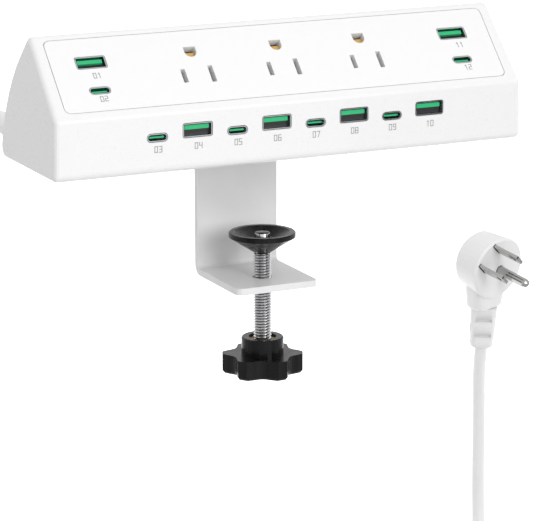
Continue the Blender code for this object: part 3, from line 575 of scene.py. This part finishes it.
def make_numerals(material):
    """A number under each port, from 01 at the housing's left to 12 at its right."""
    on_panel = [face_matrix(x * MM, up_slope * MM, True) for x, up_slope in PANEL_NUMERALS]
    in_front = []
    for k in range(PORTS_IN_FRONT):
        down = FRONT_C_NUMERAL_DOWN if k % 2 == 0 else FRONT_A_NUMERAL_DOWN
        in_front.append(face_matrix(front_port_x(k) + FRONT_NUMERAL_SHIFT, -down, False))
    bm = bmesh.new()
    for k, place in enumerate([*on_panel[:2], *in_front, *on_panel[2:]]):
        numeral_mesh(bm, f"{k + 1:02d}", NUMERAL_HEIGHT, place)
    numerals = add_mesh("port_numerals", bm)
    dress(numerals, material)
    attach(numerals, "strip")


def area_light(name, place, target, size, power):
    light = bpy.data.lights.new(name, "AREA")
    light.shape = "RECTANGLE"
    light.size, light.size_y = size
    light.energy = power
    lamp = bpy.data.objects.new(name, light)
    lamp.location = place
    lamp.rotation_mode = "QUATERNION"
    lamp.rotation_quaternion = (Vector(target) - Vector(place)).to_track_quat("-Z", "Y")
    bpy.context.scene.collection.objects.link(lamp)


def flat_panel(name, corners, colour, glow=0.0):
    """A flat stage panel through its corners, in metres, with a plain finish that may glow."""
    bm = bmesh.new()
    bm.faces.new([bm.verts.new(corner) for corner in corners])
    panel = add_mesh(name, bm)
    finish, _, shader = new_material(f"{name}_finish")
    shader.inputs["Base Color"].default_value = (colour, colour, colour, 1)
    shader.inputs["Roughness"].default_value = 0.9
    shader.inputs["Emission Color"].default_value = (1, 1, 1, 1)
    shader.inputs["Emission Strength"].default_value = glow
    panel.data.materials.append(finish)
    return panel


def make_studio():
    """A pale floor, a lit white sweep behind the object, soft light and two dark flags in front."""
    ends = (-FLOOR_HALF_SIZE, FLOOR_HALF_SIZE)
    floor = [(x, y, FLOOR_Z) for y in ends for x in (ends if y < 0 else ends[::-1])]
    flat_panel("floor", floor, FLOOR_GREY)
    ahead = Vector((CAMERA_FORWARD.x, CAMERA_FORWARD.y, 0)).normalized()
    across = Vector((ahead.y, -ahead.x, 0))
    base = Vector((*CAMERA_PLACE[:2], FLOOR_Z + 1 * MM))
    sweep = [base + ahead * distance + across * wide for distance, wide in SWEEP_CORNERS]
    flat_panel("sweep", sweep, 0.8, glow=1.0)
    for name, turn_deg in FLAG_TURNS_DEG.items():
        toward = Matrix.Rotation(math.radians(-turn_deg), 3, "Z") @ -ahead
        wide = Vector((toward.y, -toward.x, 0)) * FLAG_HALF_WIDTH
        foot = toward * FLAG_DISTANCE + Vector((0, 0, FLOOR_Z + 2 * MM))
        head = foot + Vector((0, 0, FLAG_HEIGHT))
        flag = flat_panel(name, [foot - wide, foot + wide, head + wide, head - wide], 0.01)
        flag.visible_camera = False
    world = bpy.data.worlds.new("studio")
    world.use_nodes = True
    background = world.node_tree.nodes["Background"]
    background.inputs["Color"].default_value = (1, 1, 1, 1)
    background.inputs["Strength"].default_value = WORLD_LIGHT
    bpy.context.scene.world = world
    area_light("key", KEY_PLACE, (0, 0, 0), KEY_SIZE, KEY_LIGHT)


make_camera()
cord_pvc = surface("cord_satin", (0.86, 0.86, 0.86), 0.4, spread=0.005, scale=900, bump=0.01)
cord = make_cord(cord_pvc)
boot = make_boot(cord_pvc)
tie_black = surface("tie_black", (0.03, 0.03, 0.03), 0.6)
tie = make_coil_tie(tie_black)

WHITE_GRAIN = {"spread": 0.004, "scale": 1500, "bump": 0.01}
FINISHES = {
    "white_plastic": surface("shell_white", (0.86,) * 3, 0.3, coat=0.3, **WHITE_GRAIN),
    "panel_plastic": surface("panel_white", (0.88,) * 3, 0.32, coat=0.2, **WHITE_GRAIN),
    "foot_rubber": surface("rubber_black", (0.03, 0.03, 0.03), 0.8),
    "plated_steel": surface("port_steel", (0.6, 0.62, 0.66), 0.2, metallic=1.0, scale=400, bump=0),
    "green_plastic": surface("tongue_green", (0.02, 0.5, 0.19), 0.35, scale=900, bump=0),
    "brass": surface("contact_brass", (0.72, 0.47, 0.17), 0.35, metallic=1.0),
    "circuit_board": surface("board_green", (0.02, 0.18, 0.08), 0.45),
    "transformer_core": surface("core_yellow", (0.45, 0.35, 0.1), 0.6),
    "capacitor_can": surface("can_grey", (0.5, 0.5, 0.52), 0.4, metallic=1.0),
    "powder_coat": surface("coat_white", (0.8,) * 3, 0.35, spread=0.02, scale=500, bump=0.08),
    "black_plastic": surface(
        "plastic_black", (0.004, 0.004, 0.005), 0.26, specular=0.25, scale=300, bump=0.04
    ),
    "cord_pvc": cord_pvc,
    "nickel_plate": surface("nickel", (0.42, 0.42, 0.41), 0.12, metallic=1.0, bump=0),
    "bright_steel": surface("screw_steel", (0.5, 0.5, 0.51), 0.14, metallic=1.0, scale=300),
}
for entry in frame["record"]["subparts"]:
    dress(NODES[entry["node"]], FINISHES[entry["material_slot"]])

# The screw's thread carries painted shade at its root
screw_thread(steel_with_painted_thread_shade("steel_with_painted_thread_shade"))
# A near-black box in each USB-A port stands in for the shade in its recess
make_port_painted_shade(surface("painted_shade_black", (0.01, 0.01, 0.01), 0.4))
make_ground_contacts(FINISHES["brass"])
make_numerals(surface("ink_grey", (0.35, 0.35, 0.36), 0.6))
make_studio()
bpy.context.scene.view_settings.view_transform = "Standard"
